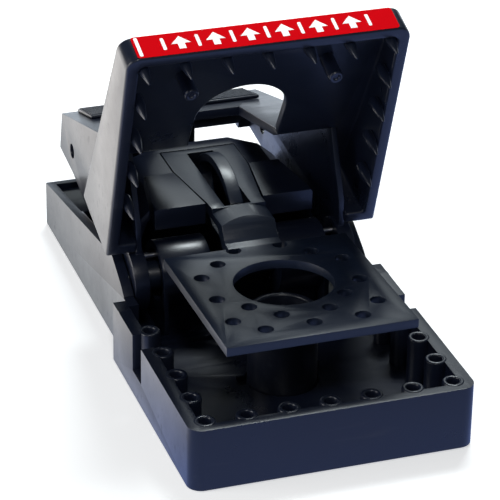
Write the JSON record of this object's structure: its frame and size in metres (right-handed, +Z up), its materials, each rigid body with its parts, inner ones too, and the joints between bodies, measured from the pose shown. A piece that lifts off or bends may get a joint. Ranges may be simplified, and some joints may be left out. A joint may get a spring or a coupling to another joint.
{
  "type": "snap mouse trap",
  "caption": "Set plastic snap mouse trap: tray base with tooth sockets, raised toothed jaw with setting lever, tilting trigger plate and central bait cup.",
  "frame": {"origin": "centre of the footprint of the whole set trap, on the ground", "axes": "+X across the trap, +Y from the jaw towards the end of the lever, +Z up"},
  "size_m": [0.05, 0.1016, 0.0634],
  "materials": {
    "black_plastic": "satin near-black moulded plastic, slightly blue",
    "trigger_plastic": "satin dark navy moulded plastic",
    "cup_plastic": "satin near-black moulded plastic",
    "steel_rod": "plain drawn steel",
    "spring_wire": "oiled spring wire",
    "label_film": "glossy red film with white marks"
  },
  "bodies": {
    "base": {"base_tray": "black_plastic", "tooth_sockets": "black_plastic", "spring_drums": "black_plastic", "spring_hood": "black_plastic", "hinge_pin": "steel_rod", "trigger_pin": "steel_rod", "coil_springs": "spring_wire"},
    "jaw": {"jaw_shell": "black_plastic", "jaw_teeth": "black_plastic", "pusher_posts": "black_plastic", "setting_lever": "black_plastic", "grip_pad": "black_plastic", "sear_hook": "black_plastic", "spring_hooks": "spring_wire", "warning_label": "label_film"},
    "trigger": {"trigger_plate": "trigger_plastic", "trigger_arm": "trigger_plastic"},
    "cup": {"bait_cup": "cup_plastic"}
  },
  "joints": [
    {"name": "jaw_hinge", "type": "hinge", "parent": "base", "child": "jaw", "pos_m": [0, 0.00133, 0.0121], "axis": [1, 0, 0], "range_deg": [0, 71.5]},
    {"name": "trigger_pivot", "type": "hinge", "parent": "base", "child": "trigger", "pos_m": [0, 0.0272, 0.0165], "axis": [1, 0, 0], "range_deg": [0, 8.6]},
    {"name": "cup_twist", "type": "hinge", "parent": "base", "child": "cup", "pos_m": [0, -0.0238, 0.005], "axis": [0, 0, 1], "range_deg": [0, 60]}
  ],
  "couplings": [
    {"joint": "trigger_pivot", "follows": "jaw_hinge", "ratio": 0.12028}
  ]
}
